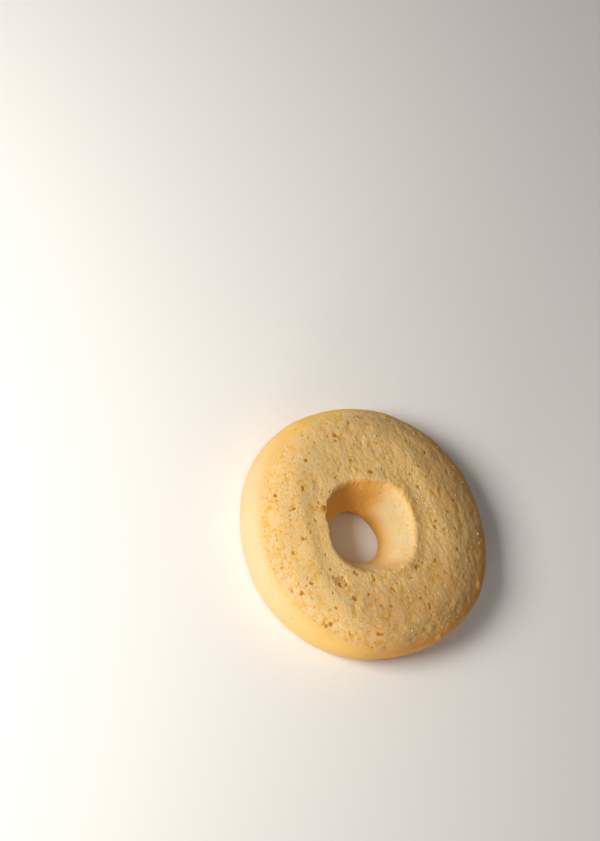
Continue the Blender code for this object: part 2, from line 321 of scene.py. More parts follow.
lipRelief = {
    "share": 0.22,                   # how much more of the crumb shows round the lip of the hole
    "out": 0.8 * mm,                 # the middle of the lip, outside the rim
    "width": (0.3 * mm, 2.0 * mm),
    "height": (8.0 * mm, 11.0 * mm),
    "pitTilt": (0.25, 0.70),         # pits show on the lip where it is so level
    "brokenSize": 2.1 * mm,          # the lip is uneven in its outline
    "brokenHeight": 0.17 * mm,
    "brokenOut": 0.3 * mm,
    "brokenWidth": (0.2 * mm, 1.6 * mm),
    "brokenAbove": (8.0 * mm, 10.5 * mm),
    "fineTimes": 2.4,                # a second noise is this many times finer
    "fineShare": 0.6,
}

shoulderRelief = {
    "crumbSize": 2.4 * mm,           # the uneven edge on the sunk side
    "crumbHeight": 0.24 * mm,
    "crumbMiddle": 0.72,
    "tilt": (0.1, 0.5),
    "tiltEnd": (0.85, 0.97),         # ground as level as this belongs to the face again
    "radius": (21.5 * mm, 25.5 * mm),
    "fromLitSide": (70, 120),
}

faceLimits = {
    "edge": 28.3 * mm,               # how far out the pitted face reaches, and how much less on the side where the key light falls
    "edgeLitSide": 0.3 * mm,
    "edgeLitSideAngle": (30, 110),
    "waveSize": 2.5 * mm,            # the edge wanders in and out
    "waveHeight": 0.6 * mm,
    "pastEdge": (-1.0 * mm, 0.8 * mm),    # the face ends between these distances past its edge
    "tilt": (0.35, 0.90),
    "dappledPastEdge": (-1.8 * mm, 0.7 * mm),
    "dappledTilt": (0.25, 0.80),     # the face's colours go further down its slopes than its crumb
}

pitForm = {
    "share": 0.5,                    # how much of its depth each pit gets in the mesh
    "bowl": (0.30, 1.30),            # a bowl's floor ends and its edge lies at these shares of its half size
    "reach": 1.4,                    # no point farther from the middle than so many half lengths is in it
    "ragSize": 0.7 * mm,
    "ragWidth": 0.26 * mm,           # how ragged the pits' outlines are
    "colourDepth": 0.20 * mm,        # a pit this deep has the pits' full colour, browner dough with painted shade
    "dentShade": 0.3,               # and a dent this deep has so much of it, painted shade
    "dentShadeDepth": 0.4 * mm,
    "edgeCrumb": (0.2, 1.5),         # the same two shares for a crumb on the edge
}

# How hollow each place is, for the colours, which make the hollows gold and darker, partly painted shade: a
# start, less what the bumps add
hollowMix = {
    "start": 0.42,
    "crumb": 0.40,
    "clumps": 1.15,
    "grain": 0.95,
}

# Shallow dents, and the pits that stand out:
# angle, distance from the centre, half length, half width, lie, depth
dents = (
    (-77, 16.8, 1.90, 1.30, 30, 0.42),
    (-60, 20.8, 1.60, 1.00, 140, 0.16),
    (-100, 25.2, 1.50, 0.90, 60, 0.14),
    (150, 20.5, 1.80, 1.00, 150, 0.14),
    (-160, 17.0, 1.60, 1.00, 130, 0.14),
)

marks = (
    (-76, 17.7, 0.55, 0.40, 150, 0.16),
    (-63, 18.7, 0.70, 0.48, 0, 0.32),
    (-43, 25.0, 1.00, 0.42, 50, 0.32),
    (-69, 26.0, 0.60, 0.42, 160, 0.28),
    (-90, 25.0, 0.60, 0.45, 45, 0.28),
    (-91, 22.1, 0.55, 0.38, 40, 0.24),
    (-111, 22.3, 0.45, 0.35, 10, 0.24),
    (-152, 19.8, 0.65, 0.45, 150, 0.24),
    (-169, 22.2, 0.55, 0.40, 130, 0.25),
    (166, 22.6, 0.65, 0.45, 170, 0.24),
    (147, 12.2, 0.70, 0.48, 60, 0.32),
    (-143, 13.7, 0.75, 0.55, 120, 0.32),
    (103, 22.6, 0.42, 0.38, 0, 0.28),
    (69, 20.9, 0.52, 0.35, 50, 0.26),
    (36, 20.1, 0.48, 0.35, 150, 0.28),
    (2, 12.9, 0.70, 0.45, 130, 0.36),
    (-9, 21.6, 0.75, 0.38, 140, 0.32),
)

pitRules = {
    "seed": 11,
    "count": 140,
    "halfLength": (0.26 * mm, 0.56 * mm),
    "narrowness": (0.45, 0.85),
    "lie": (147, 30),                # middle and spread of the pits' directions
    "depth": (0.08 * mm, 0.20 * mm),
    "band": (12.5 * mm, 27.6 * mm),
}

pinholeRules = {
    "seed": 23,
    "count": 380,
    "halfLength": (0.14 * mm, 0.32 * mm),
    "narrowness": (0.55, 1.0),
    "lie": (147, 45),
    "depth": (0.05 * mm, 0.13 * mm),
    "band": (11.8 * mm, 28.6 * mm),
}

# Crumbs baked onto the edge: angle, distance from the centre, height above the base,
# half width, how far they stand out
edgeCrumbs = (
    (130, 27.4, 10.2, 1.3, 0.24),
    (55, 27.8, 9.4, 1.3, 0.28),
    (24, 29.0, 9.7, 1.1, 0.32),
    (-9, 29.2, 9.0, 0.8, 0.36),
)

# Where the oven browned the dough, where light and shade are painted on, and where butter left golden spots
browningAndShade = {
    "litSideDirection": -125,           # the side where the key light falls, where the wall is painted paler: painted light
    "paintedLightAngle": (14, 70),
    "brownedShadeDirection": 43,          # the brownest side of the wall, away from the key light: browned dough with painted shade
    "brownedShadeAngle": (66, 106),
    "blotchSize": 3.5 * mm,          # the browning's upper edge wanders up and down
    "blotchHeight": 0.9 * mm,
    "wallHeight": (3.5 * mm, 10.0 * mm),
    "slopeShare": 0.66,              # how browned the outer slope of the face is there, partly painted shade
    "slopeRadius": (22.0 * mm, 28.0 * mm),
    # darker patches of the face: direction, angles, radii in mm where each begins and where it ends, share
    "darkerPatches": (
        (-10, (22, 58), (13, 17), (27, 29), 0.47),
        (80, (12, 50), (17, 22), (27, 29), 0.40),
        (150, (20, 60), (13, 17), (24, 27), 0.10),
        (35, (40, 85), (11.4, 12.2), (12.8, 14.8), 0.42),
    ),
    "rimWidth": 0.9 * mm,            # the hole's colours end over this width outside the rim
    "holeHeight": (1.5 * mm, 8.0 * mm),
    # the hole's sides in shade, painted an orange shade: direction, angles, share
    "holeShadeSides": (
        (182, (32, 88), 0.85),
        (-50, (28, 70), 0.32),
    ),
    "goldenRadius": (22.5 * mm, 27.0 * mm, 29.1 * mm),
    "goldenDirection": -92,
    "goldenAngle": (50, 120),
    "goldenFace": 0.55,              # how golden the rest of that half of the face is
    "goldenFaceRadius": (12.5 * mm, 15.0 * mm),
    "goldenFarDirection": 150,       # another golden stretch of the border
    "goldenFarAngle": (25, 60),
    "goldenFarRadius": (24.5 * mm, 27.0 * mm),
    "goldenFarHeight": (6.0 * mm, 9.0 * mm),
    "lipShare": 0.9,                 # the hole's lip is golden on one side
    "lipDirection": 25,
    "lipAngle": (40, 100),
    "lipOut": 0.9 * mm,
    "lipWidth": (0.3 * mm, 1.5 * mm),
    "lipHeight": (9.0 * mm, 11.0 * mm),
}


def listedPits(rows):
    # rows of x, y, half length, half width, lie, depth, from a list above
    table = np.array(rows, float)
    turn = np.radians(table[:, 0])
    return np.stack((table[:, 1] * mm * np.cos(turn), table[:, 1] * mm * np.sin(turn), table[:, 2] * mm,
                     table[:, 3] * mm, np.radians(table[:, 4]), table[:, 5] * mm), axis=1)


def drawnPits(rules):
    # the same kind of rows, drawn evenly over the ring band by area
    draw = np.random.default_rng(rules["seed"])
    count = rules["count"]
    distance = np.sqrt(draw.uniform(rules["band"][0] ** 2, rules["band"][1] ** 2, count))
    turn = draw.uniform(0.0, math.tau, count)
    halfLength = draw.uniform(*rules["halfLength"], count)
    halfWidth = halfLength * draw.uniform(*rules["narrowness"], count)
    lie = np.radians(draw.normal(*rules["lie"], count))
    depth = draw.uniform(*rules["depth"], count)
    x, y = distance * np.cos(turn), distance * np.sin(turn)
    return np.stack((x, y, halfLength, halfWidth, lie, depth), axis=1)


def pitDepth(points, pits):
    # for each pit an oval bowl: depth * (1 - smoothStep(oval distance)), the deepest one counts
    depthHere = np.zeros(len(points))
    for x, y, halfLength, halfWidth, lie, depth in pits:
        near = np.flatnonzero(np.hypot(points[:, 0] - x, points[:, 1] - y) < halfLength * pitForm["reach"])
        dx, dy = points[near, 0] - x, points[near, 1] - y
        along = dx * math.cos(lie) + dy * math.sin(lie)
        across = dy * math.cos(lie) - dx * math.sin(lie)
        away = np.hypot(along / halfLength, across / halfWidth)
        bowl = depth * fadeOut(away, *pitForm["bowl"])
        depthHere[near] = np.maximum(depthHere[near], bowl)
    return depthHere


def edgeCrumbHeight(points):
    # for each crumb on the edge a round bump: height * (1 - smoothStep(distance)), all added up
    heightHere = np.zeros(len(points))
    for angle, distance, aboveBase, halfWidth, height in edgeCrumbs:
        turn = math.radians(angle)
        centre = np.array((distance * math.cos(turn), distance * math.sin(turn), aboveBase)) * mm
        away = np.linalg.norm(points - centre, axis=1) / (halfWidth * mm)
        heightHere += height * mm * fadeOut(away, *pitForm["edgeCrumb"])
    return heightHere


def raggedPlaces(points):
    # the points shifted sideways by noise, so that ovals measured on them get ragged outlines
    moved = points.copy()
    for axis, name in enumerate(("pitsAlong", "pitsAcross")):
        moved[:, axis] += gradientNoise(points / pitForm["ragSize"], noiseSeeds[name]) * pitForm["ragWidth"]
    return moved


def bumpNoises(points):
    # the soft crumb, the clumps that it pushes about and their grains, each about zero
    sizes = relief
    drawnOut = streaked(points, sizes["crumbStretch"], sizes["crumbLie"])
    crumb = gradientNoise(drawnOut / sizes["crumbSize"], noiseSeeds["crumb"])
    pushed = drawnOut / sizes["clumpSize"] + sizes["clumpShift"] * crumb[:, None]
    clumps = clumpNoise(pushed, noiseSeeds["clumps"]) - sizes["clumpMiddle"]
    grain = clumpNoise(points / sizes["grainSize"], noiseSeeds["grain"]) - sizes["clumpMiddle"]
    return crumb, clumps, grain


def faceShares(points, normals, sectionRadius, angle):
    # how much each place counts as pitted face, and how much it has the face's colours:
    # both are level enough, outside the hole and inside the face's wandering edge
    limits = faceLimits
    radius = np.hypot(points[:, 0], points[:, 1])
    rim = ringShape["rimRadius"]
    outsideHole = smoothStep(sectionRadius, rim, rim + relief["rimWidth"])
    litSide = nearDirection(angle, browningAndShade["litSideDirection"], *limits["edgeLitSideAngle"])
    wave = gradientNoise(points / limits["waveSize"], noiseSeeds["faceEdge"]) * limits["waveHeight"]
    edge = limits["edge"] - limits["edgeLitSide"] * litSide + wave
    onFace = smoothStep(normals[:, 2], *limits["tilt"]) * outsideHole
    onFace *= fadeOut(radius, *(edge + past for past in limits["pastEdge"]))
    dappled = smoothStep(normals[:, 2], *limits["dappledTilt"]) * outsideHole
    dappled *= fadeOut(radius, *(edge + past for past in limits["dappledPastEdge"]))
    return onFace, dappled, outsideHole


def bakedRelief(points, normals, sectionRadius):
    # out along the normal: lumps + crumb + clumps + grain + uneven shoulder + edge crumbs
    # - sunk side - dents - pits
    sizes, lip, shoulder = relief, lipRelief, shoulderRelief
    angle = np.arctan2(points[:, 1], points[:, 0])
    radius = np.hypot(points[:, 0], points[:, 1])
    up = normals[:, 2]
    onFace, dappled, outsideHole = faceShares(points, normals, sectionRadius, angle)
    sunkSide = nearDirection(angle, sizes["sunkDirection"], 0.0, sizes["sunkHalfAngle"])
    sunk = sunkSide * smoothStep(radius, *sizes["sunkRadius"])
    sunk *= smoothStep(up, *sizes["sunkTilt"]) * sizes["sunkDepth"]

    fromBrowner = smoothStep(angleFrom(angle, sizes["holeRougherDirection"]), *sizes["holeRougherAngle"])
    holeShare = sizes["holeShare"] * (sizes["holeRougher"] - (sizes["holeRougher"] - 1.0) * fromBrowner)
    smoothShare = sizes["wallShare"] + (holeShare - sizes["wallShare"]) * (1.0 - outsideHole)
    shown = smoothShare + (1.0 - smoothShare) * onFace
    nearLip = fadeOut(np.abs(sectionRadius - ringShape["rimRadius"] - lip["out"]), *lip["width"])
    shown = shown + nearLip * lip["share"] * smoothStep(points[:, 2], *lip["height"])
    roughest, smoothest = sizes["rougherShares"]
    fromRougher = smoothStep(angleFrom(angle, sizes["rougherDirection"]), *sizes["rougherAngle"])
    rougher = roughest + (smoothest - roughest) * fromRougher

    lumps = gradientNoise(points / sizes["lumpSize"], noiseSeeds["lumps"]) * sizes["lumpHeight"]
    knobs = gradientNoise(points / sizes["knobSize"], noiseSeeds["knobs"])
    crumb, clumps, grain = bumpNoises(points)
    texture = (knobs * sizes["knobHeight"] + crumb * sizes["crumbHeight"]) * rougher
    texture += clumps * sizes["clumpHeight"] + grain * sizes["grainHeight"]
    texture *= shown * rougher

    onShoulder = smoothStep(up, *shoulder["tilt"]) * fadeOut(up, *shoulder["tiltEnd"])
    onShoulder *= smoothStep(radius, *shoulder["radius"])
    farSide = smoothStep(angleFrom(angle, browningAndShade["litSideDirection"]), *shoulder["fromLitSide"])
    unevenEdge = clumpNoise(points / shoulder["crumbSize"], noiseSeeds["shoulder"]) - shoulder["crumbMiddle"]
    unevenEdge = unevenEdge * shoulder["crumbHeight"] * (onShoulder * farSide)

    ragged = raggedPlaces(points)
    bigPits = pitDepth(ragged, np.vstack((listedPits(marks), drawnPits(pitRules))))
    pits = np.maximum(bigPits, pitDepth(ragged, drawnPits(pinholeRules)))
    pits *= np.maximum(onFace, nearLip * smoothStep(up, *lip["pitTilt"]))
    dented = pitDepth(ragged, listedPits(dents)) * onFace
    out = lumps + texture + unevenEdge + edgeCrumbHeight(points) - sunk - dented - pitForm["share"] * pits
    out = smoothStep(points[:, 2], *sizes["aboveBase"]) * out

    # pits and dents darker the deeper: browner dough with painted shade
    pitColour = pits / pitForm["colourDepth"]
    pitColour += pitForm["dentShade"] * dented / pitForm["dentShadeDepth"]
    # hollows get gold and crease colour, partly the crumb's own colour, partly painted shade
    hollow = hollowMix["start"] - hollowMix["crumb"] * crumb
    hollow = hollow - hollowMix["clumps"] * clumps - hollowMix["grain"] * grain
    shares = {
        "face": onFace,
        "dappled": dappled,
        "pit": np.clip(pitColour, 0.0, 1.0),
        "hollow": np.clip(hollow, 0.0, 1.0),
    }
    return out, shares


def brokenLip(points, sectionRadius):
    # the lip of the hole is moved in and out sideways by noise, most at the rim itself
    lip = lipRelief
    share = fadeOut(np.abs(sectionRadius - ringShape["rimRadius"] - lip["brokenOut"]), *lip["brokenWidth"])
    share *= smoothStep(points[:, 2], *lip["brokenAbove"])
    amount = gradientNoise(points / lip["brokenSize"], noiseSeeds["lip"])
    fine = gradientNoise(points / lip["brokenSize"] * lip["fineTimes"], noiseSeeds["lipFine"])
    amount = amount + lip["fineShare"] * fine
    radius = np.hypot(points[:, 0], points[:, 1])
    moved = points.copy()
    for axis in (0, 1):
        moved[:, axis] += points[:, axis] / radius * amount * share * lip["brokenHeight"]
    return moved


def brownedAndShadedShare(angle, height, sectionRadius, inHole):
    # low on the wall and on the face's slope on the browned side, which lies away from the key light and is
    # partly painted shade, on the darker patches of the face, and on the hole's sides in shade, painted shade
    # there: the strongest one counts
    lowOnWall = fadeOut(height, *browningAndShade["wallHeight"])
    onSlope = browningAndShade["slopeShare"] * smoothStep(sectionRadius, *browningAndShade["slopeRadius"])
    # the browned side lies away from the key light: browned dough with painted shade
    brownedShadeSide = nearDirection(angle, browningAndShade["brownedShadeDirection"], *browningAndShade["brownedShadeAngle"])
    onWall = brownedShadeSide * np.maximum(lowOnWall, onSlope)
    for direction, angles, inner, outer, share in browningAndShade["darkerPatches"]:
        patch = share * nearDirection(angle, direction, *angles)
        patch *= smoothStep(sectionRadius / mm, *inner) * fadeOut(sectionRadius / mm, *outer)
        onWall = np.maximum(onWall, patch)
    holeShadeSide = np.zeros_like(angle)
    # the hole's sides in shade get painted shade
    for direction, angles, share in browningAndShade["holeShadeSides"]:
        holeShadeSide = np.maximum(holeShadeSide, share * nearDirection(angle, direction, *angles))
    return inHole * holeShadeSide + (1.0 - inHole) * onWall


def goldenShare(points, angle, sectionRadius):
    # a band along the face's border on one side, less on that half of the face, another stretch
    # of the border, and the hole's lip on the other side
    start, middle, end = browningAndShade["goldenRadius"]
    border = smoothStep(sectionRadius, start, middle) * fadeOut(sectionRadius, middle, end)
    facePart = smoothStep(sectionRadius, *browningAndShade["goldenFaceRadius"]) * fadeOut(sectionRadius, middle, end)
    border = np.maximum(border, browningAndShade["goldenFace"] * facePart)
    border *= nearDirection(angle, browningAndShade["goldenDirection"], *browningAndShade["goldenAngle"])
    farBorder = smoothStep(sectionRadius, *browningAndShade["goldenFarRadius"])
    farBorder *= smoothStep(points[:, 2], *browningAndShade["goldenFarHeight"])
    farBorder *= nearDirection(angle, browningAndShade["goldenFarDirection"], *browningAndShade["goldenFarAngle"])
    border = np.maximum(border, farBorder)
    lip = fadeOut(np.abs(sectionRadius - ringShape["rimRadius"] - browningAndShade["lipOut"]), *browningAndShade["lipWidth"])
    lip *= smoothStep(points[:, 2], *browningAndShade["lipHeight"])
    lip *= nearDirection(angle, browningAndShade["lipDirection"], *browningAndShade["lipAngle"])
    return np.maximum(border, browningAndShade["lipShare"] * lip)


def browningAndShadeShares(points, sectionRadius):
    # what the material needs to know about each place's baking and its painted light and shade, each from 0
    # to 1
    angle = np.arctan2(points[:, 1], points[:, 0])
    blotches = gradientNoise(points / browningAndShade["blotchSize"], noiseSeeds["blotches"])
    height = points[:, 2] + blotches * browningAndShade["blotchHeight"]
    rim = ringShape["rimRadius"]
    inHole = fadeOut(sectionRadius, rim, rim + browningAndShade["rimWidth"])
    return {
        "hole": inHole,
        "brownedAndShaded": brownedAndShadedShare(angle, height, sectionRadius, inHole),
        # painted light: the wall is paler on the side where the key light falls
        "paintedLight": nearDirection(angle, browningAndShade["litSideDirection"], *browningAndShade["paintedLightAngle"]),
        "golden": goldenShare(points, angle, sectionRadius),
        "lowInHole": fadeOut(height, *browningAndShade["holeHeight"]),
    }


def gridMesh(name, points):
    # quads between neighbouring rows and turns, closed both ways
    rows, turns = points.shape[:2]
    index = np.arange(rows * turns).reshape(rows, turns)
    right, down = np.roll(index, -1, axis=1), np.roll(index, -1, axis=0)
    across = np.roll(down, -1, axis=1)
    quads = np.stack((index, down, across, right), axis=-1).reshape(-1, 4)
    return meshFromArrays(name, points.reshape(-1, 3), quads)


def meshFromArrays(name, points, faces):
    # any number of faces with the same number of corners each
    sides = faces.shape[1]
    mesh = bpy.data.meshes.new(name)
    mesh.vertices.add(len(points))
    mesh.vertices.foreach_set("co", points.ravel())
    mesh.loops.add(faces.size)
    mesh.loops.foreach_set("vertex_index", faces.ravel())
    mesh.polygons.add(len(faces))
    mesh.polygons.foreach_set("loop_start", np.arange(0, faces.size, sides))
    mesh.update(calc_edges=True)
    mesh.validate()
    mesh.shade_smooth()
    return mesh


def writeAttribute(mesh, name, values):
    # one number for each vertex, which the material reads by its name
    attribute = mesh.attributes.new(name, "FLOAT", "POINT")
    attribute.data.foreach_set("value", np.asarray(values, dtype=np.float32))


def addPiece(mesh, material):
    # into the scene as a piece that rides on the one body
    piece = bpy.data.objects.new(mesh.name, mesh)
    bpy.context.scene.collection.objects.link(piece)
    mesh.materials.append(material)
    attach(piece, "root")
    return piece


# Materials: node trees in Object coordinates, so that the pattern stays with the cookie

crustColours = {
    "cream": (0.740, 0.560, 0.312),
    "gold": (0.725, 0.408, 0.055),
    # painted light: the paler wall where the key light falls
    "wallPaintedLight": (0.645, 0.463, 0.265),
    "wall": (0.76, 0.475, 0.140),
    # browned dough, with painted shade on the side away from the key light
    "wallBrownedAndShaded": (0.58, 0.212, 0.040),
    "wallGolden": (0.90, 0.53, 0.08),
    # browned face, with painted shade on the slope away from the key light
    "faceBrownedAndShaded": (0.51, 0.238, 0.062),
    "hole": (0.68, 0.55, 0.315),
    # darker low in the hole, partly the dough's colour, partly painted shade
    "holeLow": (0.60, 0.31, 0.070),
    # painted shade: the orange of the hole's sides in shade
    "holeShade": (0.92, 0.43, 0.065),
    # painted glow: light through the thin throat, low on the hole's sides in shade
    "holeShadeGlow": (0.98, 0.53, 0.13),
    "spot": (0.76, 0.43, 0.08),
    # creases: partly the crumb's browner colour, partly painted shade
    "creaseShade": (0.66, 0.33, 0.03),
    # pits and dents: browner dough with painted shade
    "pit": (0.46, 0.180, 0.006),
    "baseEdge": (0.42, 0.18, 0.045),
}

# The crust's patterns. Each noise has a size, the noise values where it begins and is full,
# and its share of the dapple.
crustPattern = {
    "broad": (4.5 * mm, (0.36, 0.66), 0.08),
    "lumps": (1.5 * mm, (0.38, 0.66), 0.08),
    "grains": (0.26 * mm, (0.66, 0.34), 0.08),
    "hollow": ((0.15, 0.95), 0.75),  # the hollows of the relief have the largest share, gold there being partly the crumb's colour, partly painted shade
    "dappleMiddle": 0.50,            # this value of the dapple is neither cream nor gold
    "contrastGolden": (0.2, 1.1),    # how golden a place is where the contrast begins to rise and is full
    "contrast": (0.28, 1.15),        # of the dapple, away from the golden side and on it
    "goldShareGolden": (0.2, 1.0),
    "goldShare": (0.50, 0.62),       # of gold in the dapple, away from the golden side and on it
    "faceBrownedAndShaded": 0.9,              # how much of the full browned colour, partly painted shade, the face gets
    "wallGolden": 0.4,               # and the wall of the golden one
    "wallDapple": (0.14, 0.48),      # of gold dapple on the wall and in the hole
    "spotRagSize": 0.8 * mm,         # the spots have ragged outlines
    "spotRagWidth": 0.7 * mm,
    "manySpots": (1.5 * mm, 0.45),   # size of the cells, share of them with a spot
    "manySpotsShare": 0.85,
    "fewSpots": (2.3 * mm, 0.30),
    "fewSpotsShare": (0.18, 0.60),   # off the face and on it
    "creaseShade": (0.60, 1.0),           # how hollow a crease is where its painted shade begins and is full
    "creaseShadeShare": 0.62,
    "pit": (0.08, 0.70),
    "pitShare": 0.94,
    "baseEdgeHeight": 1.2 * mm,      # the browned lower edge ends at about this height
    "baseEdgeWave": 0.6 * mm,
    "baseEdgeShare": 0.75,
    "fineSize": 0.5 * mm,            # the roughness varies with this noise
    "fineBand": (0.36, 0.66),
    "roughness": (0.62, 0.80),
    "specular": 0.28,
    "glow": (0.28, 0.80),            # how much light goes into the dough, outside the hole and in it
    "glowRadius": (1.0, 0.38, 0.14),      # how far red, green and blue go, as shares of the depth
    "glowDepth": 1.4 * mm,
    "sandyClumpSize": 0.45 * mm,     # the finest relief: grains, and rounded clumps of this size
    "sandyGrains": 0.8,
    "sandyClumps": 0.9,
    "sandyDepth": 0.052 * mm,
    "sandyStrength": 0.9,
    "sandyWall": 0.5,                # how much of it the smooth wall has
}


class Tree:
    # a short way to write node trees
    def __init__(self, material):
        material.use_nodes = True
        self.nodes = material.node_tree.nodes
        self.links = material.node_tree.links
        self.shader = self.nodes["Principled BSDF"]
        self.place = self.nodes.new("ShaderNodeTexCoord").outputs["Object"]

    def set(self, node, name, value):
        # a socket is linked, anything else is written into the input
        if isinstance(value, bpy.types.NodeSocket):
            self.links.new(value, node.inputs[name])
        else:
            node.inputs[name].default_value = value

    def stretched(self, lie, stretch):
        # the place with one direction of the face shortened, as in streaked
        mapping = self.nodes.new("ShaderNodeMapping")
        mapping.vector_type = "TEXTURE"
        self.set(mapping, "Vector", self.place)
        self.set(mapping, "Rotation", (0.0, 0.0, math.radians(lie)))
        self.set(mapping, "Scale", (stretch, 1.0, 1.0))
        return mapping.outputs["Vector"]

    def noise(self, size, detail=2.0, roughness=0.55, where=None, output="Fac"):
        # a noise whose waves are about size long
        noise = self.nodes.new("ShaderNodeTexNoise")
        self.set(noise, "Vector", where or self.place)
        self.set(noise, "Scale", 1.0 / size)
        self.set(noise, "Detail", detail)
        self.set(noise, "Roughness", roughness)
        return noise.outputs[output]

    def warped(self, size, amount):
        # the place shifted by noise, for ragged outlines
        shift = self.nodes.new("ShaderNodeVectorMath")
        shift.operation = "MULTIPLY_ADD"
        self.links.new(self.noise(size, output="Color"), shift.inputs[0])
        shift.inputs[1].default_value = (amount, amount, amount)
        self.links.new(self.place, shift.inputs[2])
        return shift.outputs["Vector"]

    def spots(self, size, share, where):
        # round spots in some of the cells of a Voronoi pattern: each cell's red value chooses it,
        # and a spot fades out between 0.12 and 0.42 of a cell from its middle
        cells = self.nodes.new("ShaderNodeTexVoronoi")
        self.set(cells, "Vector", where)
        self.set(cells, "Scale", 1.0 / size)
        split = self.nodes.new("ShaderNodeSeparateColor")
        self.links.new(cells.outputs["Color"], split.inputs["Color"])
        near = self.range(cells.outputs["Distance"], 0.42, 0.12)
        chosen = self.range(split.outputs["Red"], 1.0 - share, 1.12 - share)
        return self.times(near, chosen)

    def range(self, value, low, high, outLow=0.0, outHigh=1.0):
        # the value carried smoothly from low and high to outLow and outHigh
        node = self.nodes.new("ShaderNodeMapRange")
        node.interpolation_type = "SMOOTHSTEP"
        self.set(node, "Value", value)
        for name, number in (("From Min", low), ("From Max", high), ("To Min", outLow), ("To Max", outHigh)):
            self.set(node, name, number)
        return node.outputs["Result"]

    def math(self, operation, first, second):
        # one operation on two values, each a socket or a number
        node = self.nodes.new("ShaderNodeMath")
        node.operation = operation
        for socket, value in zip(node.inputs, (first, second)):
            if isinstance(value, bpy.types.NodeSocket):
                self.links.new(value, socket)
            else:
                socket.default_value = value
        return node.outputs["Value"]

    def times(self, first, second):
        return self.math("MULTIPLY", first, second)

    def plus(self, first, second):
        return self.math("ADD", first, second)

    def mix(self, share, first, second):
        # from the first colour to the second, each a socket or three numbers
        node = self.nodes.new("ShaderNodeMix")
        node.data_type = "RGBA"
        for socket, value in zip((node.inputs[0], node.inputs[6], node.inputs[7]), (share, first, second)):
            if isinstance(value, bpy.types.NodeSocket):
                self.links.new(value, socket)
            elif isinstance(value, float):
                socket.default_value = value
            else:
                socket.default_value = (*value, 1.0)
        return node.outputs[2]

    def attribute(self, name):
        # a number that each vertex of the mesh carries
        node = self.nodes.new("ShaderNodeAttribute")
        node.attribute_name = name
        return node.outputs["Fac"]

    def height(self):
        # how far the place lies above the base
        split = self.nodes.new("ShaderNodeSeparateXYZ")
        self.set(split, "Vector", self.place)
        return split.outputs["Z"]


def facePaint(tree, mottle, golden, brownedAndShaded):
    # cream and gold by the mottle, with more contrast and more gold on the golden side, then browned, partly
    # painted shade
    pattern = crustPattern
    contrast = tree.range(golden, *pattern["contrastGolden"], *pattern["contrast"])
    middle = tree.range(golden, *pattern["goldShareGolden"], *pattern["goldShare"])
    aboutZero = tree.math("SUBTRACT", mottle, pattern["dappleMiddle"])
    goldShare = tree.plus(tree.times(aboutZero, contrast), middle)
    dapple = tree.mix(goldShare, crustColours["cream"], crustColours["gold"])
    return tree.mix(tree.times(brownedAndShaded, pattern["faceBrownedAndShaded"]), dapple, crustColours["faceBrownedAndShaded"])


def wallPaint(tree, mottle, golden, brownedAndShaded, hole):
    # the outer wall from painted light on its lit side to browned dough with painted shade, the hole from its
    # upper to its lower colours, with painted shade and a painted glow on its shaded sides
    tones, pattern = crustColours, crustPattern
    lowInHole = tree.attribute("lowInHole")
    # painted light: the wall is paler on the side where the key light falls
    wall = tree.mix(tree.attribute("paintedLight"), tones["wall"], tones["wallPaintedLight"])
    wall = tree.mix(tree.times(golden, pattern["wallGolden"]), wall, tones["wallGolden"])
    # browned dough with painted shade on the side away from the key light
    wall = tree.mix(brownedAndShaded, wall, tones["wallBrownedAndShaded"])
    # the hole darker low down, partly painted shade
    lightHole = tree.mix(lowInHole, tones["hole"], tones["holeLow"])
    # painted shade on the hole's shaded sides, with a painted glow low on them
    shadedHole = tree.mix(lowInHole, tones["holeShade"], tones["holeShadeGlow"])
    wall = tree.mix(hole, wall, tree.mix(brownedAndShaded, lightHole, shadedHole))
    goldShare = tree.times(mottle, tree.range(hole, 0.0, 1.0, *pattern["wallDapple"]))
    return tree.mix(goldShare, wall, tones["gold"])


def sandyBump(tree, grains, drawnOut, face, hole):
    # the finest relief: grains less the distance to the clumps' middles, weaker on the smooth wall
    pattern = crustPattern
    clumps = tree.nodes.new("ShaderNodeTexVoronoi")
    tree.set(clumps, "Vector", drawnOut)
    tree.set(clumps, "Scale", 1.0 / pattern["sandyClumpSize"])
    sandy = tree.math("SUBTRACT", tree.times(grains, pattern["sandyGrains"]),
                      tree.times(clumps.outputs["Distance"], pattern["sandyClumps"]))
    bump = tree.nodes.new("ShaderNodeBump")
    tree.set(bump, "Strength", pattern["sandyStrength"])
    tree.set(bump, "Distance", pattern["sandyDepth"])
    rough = tree.math("MAXIMUM", tree.range(face, 0.0, 1.0, pattern["sandyWall"], 1.0), hole)
    tree.set(bump, "Height", tree.times(sandy, rough))
    return bump.outputs["Normal"]


